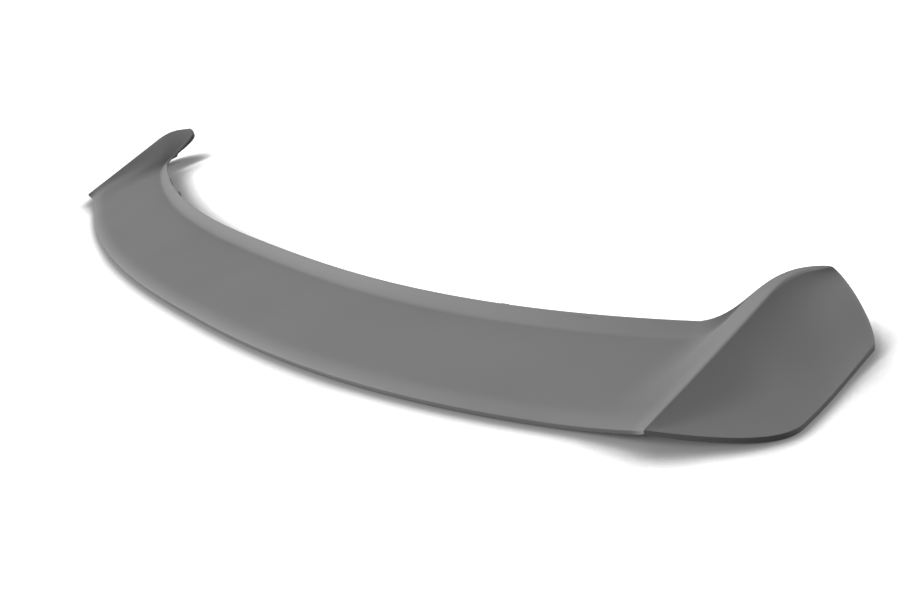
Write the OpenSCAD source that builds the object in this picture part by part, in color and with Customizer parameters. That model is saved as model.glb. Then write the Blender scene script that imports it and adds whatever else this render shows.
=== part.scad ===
// Trunk spoiler: one thin moulded shell that lies across a boot lid.
// A bowed blade runs between two fins. At each fin the blade curls up to a sharp crease, and a coved
// outer face falls from the crease to a rim that wraps round the corner of the body.
// The shell is open underneath and behind the fins. Flat bonding lands stand under the leading lip.
// X runs along the span, Y from the leading lip to the rear, and Z = 0 is the plane it rests on.

/* [Overall] */
// Width over the two outer rims
overall_w = 1233; // [1205:1:1270]
// Height at which the two straight edges of a fin's crease would meet
fin_h = 64; // [54:1:76]
// Thickness of the moulded wall
wall = 3.2; // [2.6:0.1:4]

/* [Leading lip] */
// Width between the feet of the two creases
corner_w = 1091; // [1080:1:1100]
// How far the middle of the lip stands ahead of its corners
lip_bow = 102.7; // [85:0.1:115]
// How late the lip sweeps back, from a plain arc to a flat middle
lip_power = 2.45; // [2:0.05:3]
// Height of the lip's top edge
lip_h = 5.9; // [5.2:0.1:8]
// Height of the lip's face
lip_t = 3.4; // [3:0.1:4.4]
// Height of the outer rim's face
rim_t = 4.6; // [4:0.1:5]
// Width of the bead behind the lip's face and the rim's face
rim_w = 4; // [3:0.5:6]
// How far the lip rises towards each corner
corner_lift = 7; // [3:0.5:10]
// Length of lip over which it rises
corner_run = 79; // [60:1:90]
// How far the foot of the crease stands up from the end of the lip
foot_lift = 4.2; // [2:0.1:6]
// How far the foot of the crease stands ahead of the end of the lip
foot_reach = 5.1; // [2:0.1:7]

/* [Blade] */
// Front to back at the middle
chord = 122.1; // [110:0.1:135]
// Height of the trailing edge
trail_h = 28; // [22:0.5:33]
// How far the trailing edge sweeps back on its way to a fin
trail_sweep = 90.8; // [80:0.1:100]
// How late the trailing edge sweeps back
trail_power = 2.52; // [2:0.02:3]
// Rise of the rounded nose behind the lip
nose_h = 4.5; // [3:0.1:6]
// Width of the rounded nose
nose_w = 16; // [10:0.5:20]
// Rise of the kick along the trailing edge
kick_h = 8; // [5:0.5:10]
// Width of the kick
kick_w = 20; // [14:1:28]
// Thickness of the rounded trailing edge
edge_t = 2; // [1.4:0.1:2.6]

/* [Fins] */
// Width between the two points where the trailing edge leaves the blade
kink_w = 1009; // [985:1:1025]
// How far the bend of the crease stands behind the crease's foot
bend_back = 160.8; // [145:0.1:170]
// How far the bend of the crease stands outside the crease's foot
bend_out = 11; // [4:0.1:16]
// Length of crease that is rounded on each side of its bend
bend_round = 23; // [10:1:30]
// How far the tip stands behind the bend
tip_back = 38.5; // [30:0.1:48]
// How far the tip stands outside the bend
tip_out = 10.4; // [4:0.1:18]
// How far the tip lies below the bend
tip_drop = 10.7; // [5:0.1:18]
// How far behind the crease's foot the outer rim is widest
shoulder_back = 75; // [65:1:90]
// How far behind the crease's foot the outer rim ends
rim_back = 178.6; // [168:0.1:188]
// How far the rear end of the outer rim lies inside its widest point
rim_tuck = 5; // [2:0.1:12]
// Height of the top of the outer rim at its rear end
rim_end_h = 9.1; // [6:0.1:13]
// Where the outer face's valley lies, as a share of the way from the crease out to the rim
valley_at = 0.42; // [0.34:0.01:0.48]
// Height of the valley, as a share of the height of the crease above the rim
valley_h = 0.3; // [0.22:0.01:0.38]
// Where the same valley lies at the rear edge
valley_rear_at = 0.28; // [0.22:0.01:0.36]
// Height of the same valley at the rear edge
valley_rear_h = 0.52; // [0.44:0.01:0.6]
// How gently the outer face turns at the valley
valley_soft = 0.15; // [0.08:0.01:0.3]
// How late the blade curls up towards the crease at the lip, from early to late
curl_front = 6; // [4:0.25:7]
// How late it curls up at the rear edge
curl_rear = 1.2; // [1:0.05:1.8]
// How far the outer face's rear edge swells behind the tip
edge_swell = 22; // [12:0.5:28]
// How far the same edge swells behind the rear end of the rim
edge_swell_low = 9.7; // [4:0.1:14]

/* [Bonding lands] */
// Set-back of the lands from the lip's face
land_back = 9; // [7:0.5:12]
// Width of the lands
land_w = 14; // [9:0.5:18]
// Length of the middle land
land_l = 560; // [300:10:640]
// Length of each corner land
land_corner_l = 34; // [20:1:40]
// Distance from a corner land to the foot of the crease
land_corner_gap = 8; // [5:0.5:12]

/* [Fixings under the trailing edge] */
// Distance between the two hooks
hook_span = 682; // [670:1:700]
// Width of a hook
hook_w = 8; // [5:0.5:12]
// How far a hook stands out behind the trailing edge
hook_out = 4; // [2:0.5:6]
// How far a hook lies below the trailing edge
hook_drop = 2.4; // [2.2:0.1:3]
// Depth of a hook
hook_t = 4.5; // [2:0.1:6]
// Distance between the two tongues
tongue_span = 818; // [800:1:840]
// Width of a tongue
tongue_w = 30; // [20:1:40]
// How far a tongue stands out behind the trailing edge
tongue_out = 2; // [1:0.5:4]
// How far a tongue lies below the trailing edge
tongue_drop = 3.5; // [2.2:0.1:4]
// Depth of a tongue
tongue_t = 2; // [1.5:0.1:3]

/* [Hidden] */

function mix(a, b, k) = a + (b - a) * k;
function ramp(v) = min(max(v, 0), 1);
// A point on the way from a to b, with a share of the way for each axis
function towards(a, b, share) = [for (i = [0:2]) mix(a[i], b[i], share[i])];
function bezier(p, k) =
    pow(1 - k, 3) * p[0] + 3 * pow(1 - k, 2) * k * p[1] + 3 * (1 - k) * k * k * p[2] + pow(k, 3) * p[3];

// Leading lip, from the middle of the span to the foot of the crease
corner_x = corner_w / 2;
corner_pull = 0.75 * corner_lift;
foot_run = 12;
function corner_rise(x) = pow(ramp((x - corner_x + corner_run) / corner_run), 2);
function foot_rise(x) = pow(ramp((x - corner_x + foot_run) / foot_run), 2);
function lip_back(x) = lip_bow * pow(x / corner_x, lip_power);
function lip_point(x) = [
    x,
    lip_back(x) - corner_pull * corner_rise(x) - foot_reach * foot_rise(x),
    lip_h + corner_lift * corner_rise(x) + foot_lift * foot_rise(x)
];

// Trailing edge of the blade, from the middle of the span to the kink at the fin
kink_x = kink_w / 2;
function trail_point(x) = [x, chord + trail_sweep * pow(x / kink_x, trail_power), trail_h];

// Crease of the fin: straight from its foot, round its bend, then straight to the tip
foot = lip_point(corner_x);
bend = [foot.x + bend_out, foot.y + bend_back, fin_h];
tip = bend + [tip_out, tip_back, -tip_drop];
bend_start = bend + (foot - bend) * bend_round / norm(foot - bend);
bend_end = bend + (tip - bend) * bend_round / norm(tip - bend);
bend_mid = 0.8;
bend_span = 0.1;
function crease(t) =
    t < bend_mid - bend_span ? mix(foot, bend_start, t / (bend_mid - bend_span))
    : t > bend_mid + bend_span ? mix(bend_end, tip, (t - bend_mid - bend_span) / (1 - bend_mid - bend_span))
    : let (k = (t - bend_mid + bend_span) / (2 * bend_span))
        mix(mix(bend_start, bend, k), mix(bend, bend_end, k), k);

// Rear edge of the fin's inner face, from the kink to the tip
kink = trail_point(kink_x);
inner_edge = [kink, towards(kink, tip, [0.53, 0.25, 0.19]), towards(tip, kink, [0.91, 0.12, 0.23]), tip];

// Outer rim, from the foot of the crease round its widest point to its rear end
rim_x = overall_w / 2;
shoulder = [rim_x, foot.y + shoulder_back, rim_t];
rim_end = [rim_x - rim_tuck, foot.y + rim_back, rim_end_h];
rim_front = [
    foot,
    towards(foot, shoulder, [0.54, 0.35, 0]),
    towards(shoulder, foot, [0, 0.33, 0]),
    shoulder
];
rim_rear = [
    shoulder,
    towards(shoulder, rim_end, [0, 0.32, 0]),
    towards(rim_end, shoulder, [0.36, 0.48, 0]),
    rim_end
];
rim_first = 0.08;
function rim_height(k) =
    rim_t + (foot.z - rim_t) * pow(1 - ramp(k), 2) + (rim_end_h - rim_t) * pow(ramp(k - 1), 3);
function rim_point(k) =
    let (p = k < 1 ? bezier(rim_front, k) : bezier(rim_rear, k - 1))
        [p.x, p.y, rim_height(k)];

// Rear edge of the fin's outer face, from the tip down to the rear end of the rim
outer_edge = [
    tip,
    towards(tip, rim_end, [0.07, 0, 0.48]) + [0, edge_swell, 0],
    towards(rim_end, tip, [0.09, 0, 0.2]) + [0, edge_swell_low, 0],
    rim_end
];

// Heights across the blade above the straight line from lip to trailing edge
kick_ease = 1.4;
function nose(t) = 1 - pow(1 - ramp(t * chord / nose_w), 2);
function kick(t) = pow(ramp(1 - (1 - t) * chord / kick_w), kick_ease);
function camber(t) = nose_h * nose(t) + kick_h * kick(t) - (nose_h + kick_h) * t;

// Blade and the fin's inner face: x is the place along the lip, t the place from lip to trailing edge
function blade_point(x, t) =
    let (v = ramp((x - kink_x) / (corner_x - kink_x)))
    let (rear = x < kink_x ? trail_point(x) : bezier(inner_edge, v))
    let (curl = pow(v, mix(curl_front, curl_rear, t)))
        mix(lip_point(x), rear, t) + [0, 0, (1 - curl) * camber(t)] + curl * (crease(t) - mix(foot, tip, t));

// The fin's outer face: w runs from the crease out to the rim, t from front to rear.
// A steep wall falls from the crease to a soft valley, and a shallow flare runs from there to the rim.
// The face meets the front of the rim and the rear edge exactly, and both corrections fade out between them.
valley_turn = 0.55;
valley_ease = 1.3;
front_fade = 4;
rear_fade = 3;
function hinge(w, at, h) =
    let (wall_line = 1 - (1 - h) * w / at)
    let (flare_line = h * (1 - w) / (1 - at))
        (wall_line + flare_line + norm([wall_line - flare_line, valley_soft])) / 2;
function cove(w, t) =
    let (rear = pow(ramp((t - valley_turn) / (1 - valley_turn)), valley_ease))
    let (at = mix(valley_at, valley_rear_at, rear))
    let (h = mix(valley_h, valley_rear_h, rear))
        hinge(w, at, h) - mix(hinge(0, at, h) - 1, hinge(1, at, h), w);
function across(p, q, w, t) = [mix(p.x, q.x, w), mix(p.y, q.y, w), mix(q.z, p.z, cove(w, t))];
function face_point(w, t) =
    across(crease(t), rim_point(mix(rim_first, 2, t)), w, t)
    + pow(1 - t, front_fade) * (rim_point(rim_first * w) - across(foot, rim_point(rim_first), w, 0))
    + pow(t, rear_fade) * (bezier(outer_edge, w) - across(tip, rim_end, w, 1));

// Stations along each rib, as fractions of its length, with a close pair at each step of the underside
step = 0.003;
bead_to = rim_w / chord;
land_from = land_back / chord;
land_to = (land_back + land_w) / chord;
kick_from = 1 - kick_w / chord;
field_n = 9;
kick_n = 6;
stations = concat(
    [0, mix(0, bead_to, 0.4), bead_to, bead_to + step],
    [mix(bead_to, land_from, 0.5), land_from, land_from + step],
    [mix(land_from, land_to, 0.5), land_to - step, land_to],
    [for (i = [1:field_n]) mix(land_to, kick_from, i / field_n)],
    [for (i = [1:kick_n - 1]) mix(kick_from, 1, i / kick_n)],
    [1 - step * 2, 1]
);

// Ribs from the middle of the span outwards, as places along the lip and then across the outer face.
// A pair of ribs stands at each end of a land and at each side of a fixing.
land_x = land_l / 2;
land_corner_to = corner_x - land_corner_gap;
land_corner_from = land_corner_to - land_corner_l;
fixings = [
    [hook_span / 2, hook_w, [0, hook_out, -hook_drop], hook_t],
    [tongue_span / 2, tongue_w, [0, tongue_out, -tongue_drop], tongue_t]
];
function fixing_from(f) = f[0] - f[1] / 2;
function fixing_to(f) = f[0] + f[1] / 2;
ends = concat(
    [land_x, land_corner_from, land_corner_to],
    [for (f = fixings) each [fixing_from(f), fixing_to(f)]]
);
end_gap = 1;
set_ribs = concat([0, kink_x, corner_x], [for (x = ends) each [x, x + end_gap]]);

// Between those, ribs stand at an even pitch, wide on the blade and narrow where it rises and curls
rib_pitch = 34;
curl_pitch = 4.2;
rib_clear = 2;
rise_x = corner_x - corner_run;
spread_ribs = concat([for (x = [rib_pitch:rib_pitch:rise_x]) x], [for (x = [rise_x:curl_pitch:corner_x]) x]);
function sorted(v) =
    len(v) < 2 ? v
    : let (middle = v[floor(len(v) / 2)])
        concat(
            sorted([for (x = v) if (x < middle) x]),
            [middle],
            sorted([for (x = v) if (x > middle) x])
        );
blade_ribs = sorted(
    concat(set_ribs, [for (x = spread_ribs) if (min([for (s = set_ribs) abs(x - s)]) > rib_clear) x])
);
rim_from = 1 - rim_w / (rim_x - corner_x);
rim_blend = 0.3;
rim_step = 0.01;
face_n = 14;
face_crowd = 1.15;
face_ribs = concat(
    [for (i = [1:face_n - 1]) rim_from * pow(i / face_n, face_crowd)],
    [rim_from - rim_step, rim_from, 1]
);
blade_n = len(blade_ribs);

top = concat(
    [for (x = blade_ribs) [for (t = stations) blade_point(x, t)]],
    [for (w = face_ribs) [for (t = stations) face_point(w, t)]]
);
rib_last = len(top) - 1;
station_last = len(stations) - 1;

// Upright thickness of the wall where the surface slopes
steepest = 2.2;
function slope_factor(i, j) =
    let (along = top[min(i + 1, rib_last)][j] - top[max(i - 1, 0)][j])
    let (back = top[i][min(j + 1, station_last)] - top[i][max(j - 1, 0)])
    let (n = cross(along, back))
        min(norm(n) / max(abs(n.z), 0.001), steepest);

function bead_height(i) = i < blade_n ? lip_t : mix(lip_t, rim_t, ramp(face_ribs[i - blade_n] / rim_blend));
function is_bead(i, t) = t <= bead_to || (i >= blade_n && face_ribs[i - blade_n] >= rim_from);
function is_land(i, t) =
    i < blade_n && t > land_from && t < land_to
    && (blade_ribs[i] <= land_x || (blade_ribs[i] > land_corner_from && blade_ribs[i] <= land_corner_to));
function in_fixing(x, f) = x > fixing_from(f) && x <= fixing_to(f);
function fixing_at(i) = i < blade_n ? [for (f = fixings) if (in_fixing(blade_ribs[i], f)) f] : [];
function under(i, j) =
    let (p = top[i][j])
    let (t = stations[j])
    let (skin = (t == 1 ? edge_t : wall) * slope_factor(i, j))
    let (fixing = j >= station_last - 1 ? fixing_at(i) : [])
        len(fixing) > 0 ? top[i][station_last] + fixing[0][2] - [0, 0, t < 1 ? fixing[0][3] : 0]
        : [p.x, p.y, is_land(i, t) ? 0 : p.z - (is_bead(i, t) ? bead_height(i) : skin)];

// Closed loop of one rib: over the top from front to rear and back along the underside
loops = [for (i = [0:rib_last]) concat(top[i], [for (j = [station_last:-1:0]) under(i, j)])];
function mirrored(loop) = [for (p = loop) [-p.x, p.y, p.z]];
all_loops = concat([for (i = [rib_last:-1:1]) mirrored(loops[i])], loops);
loop_n = 2 * len(stations);
all_points = [for (loop = all_loops) each loop];

side_faces = [
    for (i = [0:len(all_loops) - 2])
        for (j = [0:loop_n - 1])
            let (a = i * loop_n + j)
            let (b = i * loop_n + (j + 1) % loop_n)
                each [[a, b, b + loop_n], [a, b + loop_n, a + loop_n]]
];
end_faces = [
    for (first = [0, (len(all_loops) - 1) * loop_n])
        for (j = [0:station_last - 1])
            let (a = first + j)
            let (b = first + loop_n - 1 - j)
                each first == 0 ? [[a, b, b - 1], [a, b - 1, a + 1]] : [[a, b - 1, b], [a, a + 1, b - 1]]
];

// The origin is the middle of the outline, seen from above
front_y = lip_point(0).y;
rear_y = max([for (w = face_ribs) bezier(outer_edge, w).y]);
mid_y = (front_y + rear_y) / 2;

module spoiler() {
    color("dimgray")
        translate([0, -mid_y, 0])
            polyhedron(points = all_points, faces = concat(side_faces, end_faces), convexity = 8);
}

spoiler();
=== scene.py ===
# Trunk spoiler: one thin moulded shell in raw matte plastic, seen from above its left-hand corner.
import math

import bmesh
import bpy
from mathutils import Matrix, Vector


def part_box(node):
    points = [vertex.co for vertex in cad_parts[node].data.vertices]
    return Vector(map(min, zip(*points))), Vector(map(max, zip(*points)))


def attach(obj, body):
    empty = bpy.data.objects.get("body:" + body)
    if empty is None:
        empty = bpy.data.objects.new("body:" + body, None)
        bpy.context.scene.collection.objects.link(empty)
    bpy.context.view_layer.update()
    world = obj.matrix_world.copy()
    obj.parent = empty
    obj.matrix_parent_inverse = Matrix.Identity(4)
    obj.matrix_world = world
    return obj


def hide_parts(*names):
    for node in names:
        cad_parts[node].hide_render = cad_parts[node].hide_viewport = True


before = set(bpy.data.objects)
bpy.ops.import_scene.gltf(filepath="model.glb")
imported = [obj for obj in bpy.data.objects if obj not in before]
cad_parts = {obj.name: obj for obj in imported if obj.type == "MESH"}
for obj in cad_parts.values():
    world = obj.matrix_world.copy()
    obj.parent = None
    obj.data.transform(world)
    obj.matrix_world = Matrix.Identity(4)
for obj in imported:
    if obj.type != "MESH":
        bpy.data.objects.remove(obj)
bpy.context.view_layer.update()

# Sizes of the shell in metres
half_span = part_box("spoiler")[1].x
wall = 0.0032
lip_h = 0.0059
lip_bow = 0.1027
lip_power = 2.45
corner_x = 0.5455
corner_lift = 0.007
corner_pull = 0.75 * corner_lift
corner_run = 0.079
foot_lift = 0.0042
foot_reach = 0.0051
foot_run = 0.012
lip_t = 0.0034
rim_t = 0.0046
rim_w = 0.004
rim_blend = 0.3
chord = 0.1221
trail_h = 0.028
trail_sweep = 0.0908
trail_power = 2.52
edge_t = 0.002
nose_h = 0.0045
nose_w = 0.016
kick_h = 0.008
kick_w = 0.0145
kick_ease = 1.25
kink_x = 0.5045
bend_back = 0.1608
bend_out = 0.011
bend_h = 0.064
bend_round = 0.023
tip_back = 0.0385
tip_out = 0.0104
tip_drop = 0.0107
shoulder_back = 0.075
rim_back = 0.1786
rim_tuck = 0.005
rim_end_h = 0.0091
rim_first = 0.08
valley_at = 0.42
valley_h = 0.3
valley_rear_at = 0.28
valley_rear_h = 0.52
valley_soft = 0.15
valley_turn = 0.55
valley_ease = 1.3
front_fade = 4
rear_fade = 3
curl_front = 6.0
curl_rear = 1.2
edge_swell = 0.022
edge_swell_low = 0.0097
land_back = 0.009
land_w = 0.014
land_end = 0.280
land_corner_from = 0.5045
land_corner_to = 0.5375
hook_x = 0.341
hook_size = (0.008, 0.006, 0.0052)
hook_out = 0.004
hook_drop = 0.0019
tongue_x = 0.409
tongue_size = (0.030, 0.005, 0.0025)
tongue_out = 0.002
tongue_drop = 0.0018
crease_share = 0.03
crease_reach = 0.0012
crease_rows = 6
rim_radius = 0.0009
fixing_radius = 0.0005
face_rows = 30
face_crowd = 1.15
steepest = 2.2


def mix(a, b, k):
    return a + (b - a) * k


def ramp(v):
    return min(max(v, 0.0), 1.0)


def bezier(p, k):
    return p[0] * (1 - k) ** 3 + p[1] * 3 * (1 - k) ** 2 * k + p[2] * 3 * (1 - k) * k * k + p[3] * k**3


def towards(a, b, share):
    return Vector([mix(a[i], b[i], share[i]) for i in range(3)])


def lip_point(x):
    """The lip's top edge at a distance x from the middle of the span."""
    rise = ramp((x - corner_x + corner_run) / corner_run) ** 2
    foot_rise = ramp((x - corner_x + foot_run) / foot_run) ** 2
    back = lip_bow * (x / corner_x) ** lip_power
    return Vector(
        (x, back - corner_pull * rise - foot_reach * foot_rise, lip_h + corner_lift * rise + foot_lift * foot_rise)
    )


def trail_point(x):
    """The blade's rear edge at a distance x from the middle of the span."""
    return Vector((x, chord + trail_sweep * (x / kink_x) ** trail_power, trail_h))


# Crease of the fin and the edges that meet it
foot = lip_point(corner_x)
bend = Vector((foot.x + bend_out, foot.y + bend_back, bend_h))
tip = bend + Vector((tip_out, tip_back, -tip_drop))
bend_start = bend + (foot - bend).normalized() * bend_round
bend_end = bend + (tip - bend).normalized() * bend_round
bend_from = 0.7
bend_to = 0.9
kink = trail_point(kink_x)
inner_edge = (kink, towards(kink, tip, (0.53, 0.25, 0.19)), towards(tip, kink, (0.91, 0.12, 0.23)), tip)
shoulder = Vector((half_span, foot.y + shoulder_back, rim_t))
rim_end = Vector((half_span - rim_tuck, foot.y + rim_back, rim_end_h))
rim_front = (foot, towards(foot, shoulder, (0.54, 0.35, 0)), towards(shoulder, foot, (0, 0.33, 0)), shoulder)
rim_rear = (
    shoulder,
    towards(shoulder, rim_end, (0, 0.32, 0)),
    towards(rim_end, shoulder, (0.36, 0.48, 0)),
    rim_end,
)
outer_edge = (
    tip,
    towards(tip, rim_end, (0.07, 0, 0.48)) + Vector((0, edge_swell, 0)),
    towards(rim_end, tip, (0.09, 0, 0.2)) + Vector((0, edge_swell_low, 0)),
    rim_end,
)


def crease(t):
    """The fin's crease, from its foot, 0, over the rounded bend to the tip, 1."""
    if t < bend_from:
        return mix(foot, bend_start, t / bend_from)
    if t > bend_to:
        return mix(bend_end, tip, (t - bend_to) / (1 - bend_to))
    k = (t - bend_from) / (bend_to - bend_from)
    return mix(mix(bend_start, bend, k), mix(bend, bend_end, k), k)


def rim_point(k):
    """The outer rim, from the crease's foot, 0, past its widest point, 1, to its rear end, 2."""
    p = bezier(rim_front, k) if k < 1 else bezier(rim_rear, k - 1)
    p.z = rim_t + (foot.z - rim_t) * (1 - ramp(k)) ** 2 + (rim_end_h - rim_t) * ramp(k - 1) ** 3
    return p


def camber(t):
    """Height of the rounded nose and of the kick above the straight section."""
    nose = 1 - (1 - ramp(t * chord / nose_w)) ** 2
    kick = ramp(1 - (1 - t) * chord / kick_w) ** kick_ease
    return nose_h * nose + kick_h * kick - (nose_h + kick_h) * t


def blade_point(x, t):
    """The blade's top: its straight section curls up to the crease outside the kink."""
    v = ramp((x - kink_x) / (corner_x - kink_x))
    rear = trail_point(x) if x < kink_x else bezier(inner_edge, v)
    curl = v ** mix(curl_front, curl_rear, t)
    p = mix(lip_point(x), rear, t) + (crease(t) - mix(foot, tip, t)) * curl
    p.z += (1 - curl) * camber(t)
    return p


def hinge(w, at, height):
    """Two straight slopes from 1 down to 0 that turn softly into each other in the valley."""
    steep = 1 - (1 - height) * w / at
    flat = height * (1 - w) / (1 - at)
    return (steep + flat + math.hypot(steep - flat, valley_soft)) / 2


def cove(w, t):
    """Height of the outer face, from the crease, w = 0, to the rim, w = 1."""
    fade = ramp((t - valley_turn) / (1 - valley_turn)) ** valley_ease
    at = mix(valley_at, valley_rear_at, fade)
    height = mix(valley_h, valley_rear_h, fade)
    return hinge(w, at, height) - mix(hinge(0, at, height) - 1, hinge(1, at, height), w)


def across(p, q, w, t):
    return Vector((mix(p.x, q.x, w), mix(p.y, q.y, w), mix(q.z, p.z, cove(w, t))))


def face_point(w, t):
    """The outer face, fitted to the rim in front and to its own rear edge behind."""
    front = rim_point(rim_first * w) - across(foot, rim_point(rim_first), w, 0)
    rear = bezier(outer_edge, w) - across(tip, rim_end, w, 1)
    between = across(crease(t), rim_point(mix(rim_first, 2, t)), w, t)
    return between + front * (1 - t) ** front_fade + rear * t**rear_fade


# Grid lines: ribs run from the lip to the rear, stations are places along a rib


def spread(start, end, pitch):
    """Even places from start up to but without end, at most one pitch apart."""
    n = max(1, math.ceil((end - start) / pitch - 0.01))
    return [mix(start, end, i / n) for i in range(n)]


def stations():
    """Places from the lip, 0, to the rear edge, 1, close together where the section turns."""
    land_from = land_back / chord
    land_to = (land_back + land_w) / chord
    kick_from = 1 - kick_w / chord
    bead_to = rim_w / chord
    land_step = 0.003
    pitch = 0.02
    edge_from = 0.972
    return (
        [0, 0.012, 0.024, bead_to, bead_to + 0.008]
        + spread(bead_to + 0.017, land_from, pitch)
        + [land_from, land_from + land_step]
        + spread(land_from + pitch, land_to - pitch, pitch)
        + [land_to - land_step, land_to]
        + spread(land_to + pitch, kick_from, 0.022)
        + spread(kick_from, edge_from, 0.017)
        + [edge_from, 0.984, 1]
    )


def blade_ribs():
    """Places along the lip, from the middle of the span to the crease."""
    land_step = 0.0008
    land_ends = [land_end, land_end + land_step, land_corner_to, land_corner_to + land_step]
    rise_x = corner_x - corner_run
    even = spread(0, land_end, 0.012) + spread(land_end + 0.008, rise_x, 0.011) + spread(rise_x, kink_x, 0.006)
    curled = spread(kink_x, land_corner_to, 0.0021) + spread(land_corner_to + 0.0018, corner_x, 0.0015)
    return sorted(even + curled + land_ends)


def shell_rows():
    """Rows of points for one half of the top surface: one row per rib, one point per station."""
    places = stations()
    rows = [[blade_point(x, t) for t in places] for x in blade_ribs()]
    rows[-1] = [crease_fillet(t, 0) for t in places]
    for k in range(1, crease_rows):
        rows.append([crease_fillet(t, k / crease_rows) for t in places])
    rim_from = 1 - rim_w / (half_span - corner_x)
    outside = [mix(crease_share, rim_from, (i / face_rows) ** face_crowd) for i in range(face_rows + 1)]
    outside += [mix(rim_from, 1, share) for share in (0.4, 0.75, 1)]
    rows += [[face_point(w, t) for t in places] for w in outside]
    return rows


def crease_fillet(t, k):
    """The rounded top of the crease, from the blade side, 0, to the outer face, 1."""
    before = blade_point(corner_x - crease_reach, t)
    after = face_point(crease_share, t)
    top = crease(t)
    return mix(mix(before, top, k), mix(top, after, k), k)


def build_shell(shift):
    """The whole shell: half of the top, its mirror image, and both let down by the wall's thickness."""
    rows = shell_rows()
    places = stations()
    rib_n = len(rows)
    station_n = len(places)
    bm = bmesh.new()
    bmesh.ops.create_grid(bm, x_segments=rib_n - 1, y_segments=station_n - 1, size=1)
    drop = bm.verts.layers.float.new("drop")
    on_land = bm.verts.layers.int.new("on_land")
    beaded = bm.verts.layers.int.new("beaded")
    rib_x = blade_ribs()
    rim_rows = 3
    for v in bm.verts:
        i = round((v.co.x + 1) / 2 * (rib_n - 1))
        j = round((v.co.y + 1) / 2 * (station_n - 1))
        v.co = rows[i][j] + shift
        t = places[j]
        in_bead = t <= rim_w / chord or i >= rib_n - rim_rows
        bead = mix(lip_t, rim_t, ramp((rows[i][j].x - corner_x) / (half_span - corner_x) / rim_blend))
        v[drop] = bead if in_bead else (edge_t if t == 1 else wall)
        v[beaded] = int(in_bead)
        on_strip = land_back / chord < t < (land_back + land_w) / chord
        on_rib = i < len(rib_x) and (rib_x[i] <= land_end or land_corner_from <= rib_x[i] <= land_corner_to)
        v[on_land] = int(on_strip and on_rib)
    bmesh.ops.mirror(bm, geom=bm.verts[:] + bm.edges[:] + bm.faces[:], axis="X", merge_dist=0.00002)
    bmesh.ops.recalc_face_normals(bm, faces=bm.faces[:])
    if sum(f.normal.z for f in bm.faces) < 0:
        bmesh.ops.reverse_faces(bm, faces=bm.faces[:])
    bm.normal_update()
    for v in bm.verts:
        thick = v[drop] if v[beaded] else v[drop] * min(1 / max(v.normal.z, 0.001), steepest)
        v[drop] = v.co.z if v[on_land] else thick
    made = bmesh.ops.extrude_face_region(bm, geom=bm.faces[:], use_keep_orig=True)["geom"]
    for v in (g for g in made if isinstance(g, bmesh.types.BMVert)):
        v.co.z -= v[drop]
    bmesh.ops.recalc_face_normals(bm, faces=bm.faces[:])
    return bm


def add_fixing(bm, x, size, out, drop, shift):
    """A small moulded block under the rear edge that follows the slant of the edge."""
    reach = 0.001
    slant = (trail_point(x + reach).y - trail_point(x - reach).y) / (2 * reach)
    centre = trail_point(x) + shift + Vector((0, out - size[1] / 2, -drop - size[2] / 2))
    for side in (1, -1):
        block = bmesh.ops.create_cube(bm, size=1)["verts"]
        bmesh.ops.scale(bm, vec=size, verts=block)
        lean = Matrix.Identity(4)
        lean[1][0] = side * slant
        bmesh.ops.transform(bm, matrix=lean, verts=block)
        bmesh.ops.translate(bm, vec=(side * centre.x, centre.y, centre.z), verts=block)
        round_edges(bm, list(dict.fromkeys(e for v in block for e in v.link_edges)), fixing_radius, 2)


def round_edges(bm, edges, radius, segments):
    bmesh.ops.bevel(
        bm,
        geom=edges,
        offset=radius,
        offset_type="OFFSET",
        segments=segments,
        profile=0.5,
        affect="EDGES",
        clamp_overlap=True,
        material=-1,
    )


def round_rims(bm):
    """Rounds the edges of the lip, the outer rims and the rear edge."""
    bm.normal_update()
    round_edges(bm, [e for e in bm.edges if len(e.link_faces) == 2 and is_rim_edge(e)], rim_radius, 3)


def is_rim_edge(e):
    """An edge between an upright face and a flatter one, but not one under a land."""
    upright = [abs(f.normal.z) < 0.35 for f in e.link_faces]
    return upright[0] != upright[1] and e.calc_face_angle(0) > math.radians(50) and not is_under_land(e)


def is_under_land(e):
    rests = max(v.co.z for v in e.verts) < 0.0002
    return rests and min(abs(v.co.x) for v in e.verts) < land_corner_to - 0.001


def finish_piece(bm, name, material):
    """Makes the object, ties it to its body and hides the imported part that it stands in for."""
    mesh = bpy.data.meshes.new(name)
    bm.to_mesh(mesh)
    bm.free()
    mesh.materials.append(material)
    mesh.shade_smooth()
    mesh.set_sharp_from_angle(angle=math.radians(38))
    piece = bpy.data.objects.new(name, mesh)
    bpy.context.scene.collection.objects.link(piece)
    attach(piece, "root")
    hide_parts("spoiler")
    return piece


# Finish


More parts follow.
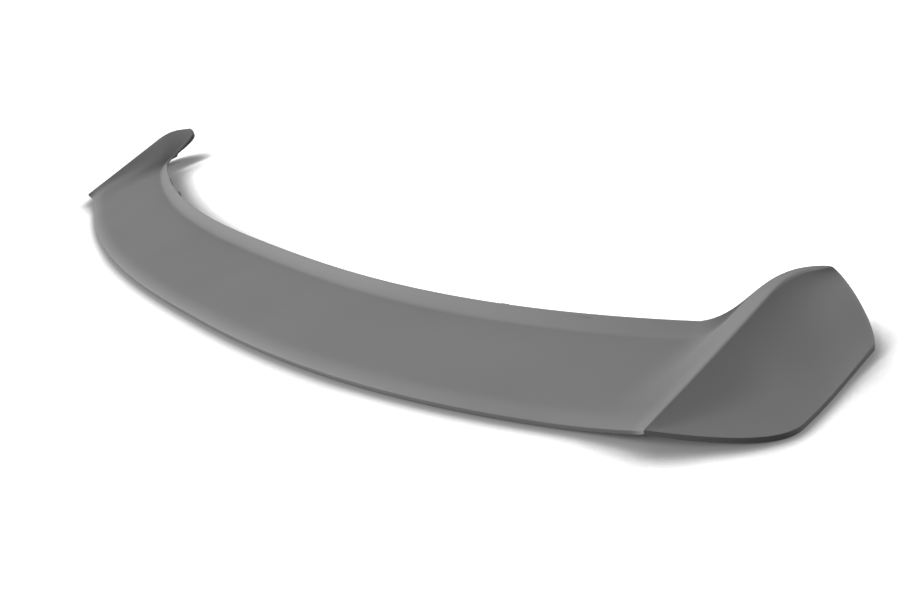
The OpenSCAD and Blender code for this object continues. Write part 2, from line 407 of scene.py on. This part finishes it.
def moulded_plastic():
    """Raw matte plastic: one grey with a slight cloudiness and a fine moulded grain."""
    material = bpy.data.materials.new("raw_matte_plastic")
    material.use_nodes = True
    nodes = material.node_tree.nodes
    links = material.node_tree.links
    shader = nodes["Principled BSDF"]
    shader.inputs["IOR"].default_value = 1.45
    place = nodes.new("ShaderNodeTexCoord")

    cloud = nodes.new("ShaderNodeTexNoise")
    cloud.inputs["Scale"].default_value = 9
    cloud.inputs["Detail"].default_value = 3
    links.new(place.outputs["Object"], cloud.inputs["Vector"])
    tone = nodes.new("ShaderNodeMapRange")
    tone.inputs["From Min"].default_value = 0.3
    tone.inputs["From Max"].default_value = 0.7
    tone.inputs["To Min"].default_value = 0.186
    tone.inputs["To Max"].default_value = 0.2
    links.new(cloud.outputs["Fac"], tone.inputs["Value"])
    grey = nodes.new("ShaderNodeCombineColor")
    for channel in ("Red", "Green", "Blue"):
        links.new(tone.outputs["Result"], grey.inputs[channel])
    links.new(grey.outputs["Color"], shader.inputs["Base Color"])

    grain = nodes.new("ShaderNodeTexNoise")
    grain.inputs["Scale"].default_value = 900
    grain.inputs["Detail"].default_value = 2
    links.new(place.outputs["Object"], grain.inputs["Vector"])
    dull = nodes.new("ShaderNodeMapRange")
    dull.inputs["To Min"].default_value = 0.5
    dull.inputs["To Max"].default_value = 0.62
    links.new(grain.outputs["Fac"], dull.inputs["Value"])
    links.new(dull.outputs["Result"], shader.inputs["Roughness"])
    bump = nodes.new("ShaderNodeBump")
    bump.inputs["Strength"].default_value = 0.12
    bump.inputs["Distance"].default_value = 0.0002
    links.new(grain.outputs["Fac"], bump.inputs["Height"])
    links.new(bump.outputs["Normal"], shader.inputs["Normal"])
    return material


# Surroundings


def calculate(nodes, links, operation, value, other):
    """A Math node: the first value is a socket, the second a socket or a number."""
    node = nodes.new("ShaderNodeMath")
    node.operation = operation
    links.new(value, node.inputs[0])
    if isinstance(other, (int, float)):
        node.inputs[1].default_value = other
    else:
        links.new(other, node.inputs[1])
    return node.outputs["Value"]


def white_floor():
    """A wide pale floor that the camera sees as white, with soft contact shadows round the object painted into its
    colour.
    """
    shadow_reach = 0.045
    shadow_fall = 9
    shadow_grey = 0.3
    shadow_faintness = 0.6
    bm = bmesh.new()
    bmesh.ops.create_grid(bm, x_segments=1, y_segments=1, size=12)
    mesh = bpy.data.meshes.new("floor")
    bm.to_mesh(mesh)
    bm.free()
    material = bpy.data.materials.new("white_floor")
    material.use_nodes = True
    nodes = material.node_tree.nodes
    links = material.node_tree.links
    for node in list(nodes):
        nodes.remove(node)
    seen = nodes.new("ShaderNodeBsdfDiffuse")

    # Painted contact shadow in the floor's colour: white in the open, grey beside the object, and black only in
    # the gap right under it
    contact = nodes.new("ShaderNodeAmbientOcclusion")
    contact.inputs["Distance"].default_value = shadow_reach
    painted_shadow_falloff = calculate(nodes, links, "POWER", contact.outputs["AO"], shadow_fall)
    white = calculate(nodes, links, "MULTIPLY", painted_shadow_falloff, 1.15)
    painted_gap_shadow = calculate(nodes, links, "MULTIPLY", contact.outputs["AO"], 3)
    painted_gap_shadow.node.use_clamp = True
    grey = calculate(nodes, links, "MULTIPLY", painted_gap_shadow, shadow_grey)
    pale = calculate(nodes, links, "ADD", white, grey)

    # Part of the tone, painted shadow included, doesn't follow the lamps, so that the shadows they cast stay faint
    glow = nodes.new("ShaderNodeEmission")
    even = nodes.new("ShaderNodeMixShader")
    even.inputs[0].default_value = shadow_faintness
    links.new(pale, seen.inputs["Color"])
    links.new(pale, glow.inputs["Color"])
    links.new(seen.outputs["BSDF"], even.inputs[1])
    links.new(glow.outputs["Emission"], even.inputs[2])

    unseen = nodes.new("ShaderNodeBsdfDiffuse")
    unseen.inputs["Color"].default_value = (0.25, 0.25, 0.25, 1)
    path = nodes.new("ShaderNodeLightPath")
    either = nodes.new("ShaderNodeMixShader")
    output = nodes.new("ShaderNodeOutputMaterial")
    links.new(path.outputs["Is Camera Ray"], either.inputs[0])
    links.new(unseen.outputs["BSDF"], either.inputs[1])
    links.new(even.outputs["Shader"], either.inputs[2])
    links.new(either.outputs["Shader"], output.inputs["Surface"])
    mesh.materials.append(material)
    floor = bpy.data.objects.new("floor", mesh)
    floor.location.z = -0.0003
    bpy.context.scene.collection.objects.link(floor)


def surround():
    """A plain pale room that the camera sees as white."""
    world = bpy.data.worlds.new("pale_room")
    bpy.context.scene.world = world
    world.use_nodes = True
    nodes = world.node_tree.nodes
    links = world.node_tree.links
    room = nodes["Background"]
    room.inputs["Color"].default_value = (1, 1, 1, 1)
    room.inputs["Strength"].default_value = 0.08
    backdrop = nodes.new("ShaderNodeBackground")
    backdrop.inputs["Color"].default_value = (1, 1, 1, 1)
    path = nodes.new("ShaderNodeLightPath")
    either = nodes.new("ShaderNodeMixShader")
    links.new(path.outputs["Is Camera Ray"], either.inputs[0])
    links.new(room.outputs["Background"], either.inputs[1])
    links.new(backdrop.outputs["Background"], either.inputs[2])
    links.new(either.outputs["Shader"], nodes["World Output"].inputs["Surface"])


def lamp(name, azimuth, elevation, width, power):
    """A far, wide lamp. The azimuth is counted from +X towards +Y, and both angles are in degrees."""
    data = bpy.data.lights.new(name, "SUN")
    data.angle = math.radians(width)
    data.energy = power
    light = bpy.data.objects.new(name, data)
    around = math.radians(azimuth)
    up = math.radians(elevation)
    direction = Vector((math.cos(up) * math.cos(around), math.cos(up) * math.sin(around), math.sin(up)))
    light.location = 3 * direction
    light.rotation_euler = direction.to_track_quat("Z", "Y").to_euler()
    bpy.context.scene.collection.objects.link(light)


def camera():
    """The photograph's view, from above the near corner."""
    data = bpy.data.cameras.new("camera")
    data.sensor_width = 36
    image_w = 920
    focal_px = 900
    data.lens = data.sensor_width * focal_px / image_w
    data.clip_start = 0.01
    view = bpy.data.objects.new("camera", data)
    view.location = (0.8864, -0.4195, 0.3851)
    right = Vector((0.6415, 0.7415, -0.1965))
    up = Vector((-0.2354, 0.434, 0.8696))
    back = right.cross(up)
    turn = [[right[i], up[i], back[i]] for i in range(3)]
    view.rotation_euler = Matrix(turn).to_euler()
    bpy.context.scene.collection.objects.link(view)
    bpy.context.scene.camera = view


bpy.context.scene.view_settings.view_transform = "Standard"
camera()
surround()
lamp("front_left_softbox", 222, 18, 40, 3.9)
lamp("rear_right_softbox", 62, 22, 40, 1.9)
lamp("overhead_softbox", 200, 60, 30, 1.0)
white_floor()

plastic = moulded_plastic()
place = Vector((0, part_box("spoiler")[0].y, 0))
shell = build_shell(place)
round_rims(shell)
add_fixing(shell, hook_x, hook_size, hook_out, hook_drop, place)
add_fixing(shell, tongue_x, tongue_size, tongue_out, tongue_drop, place)
finish_piece(shell, "spoiler_shell", plastic)
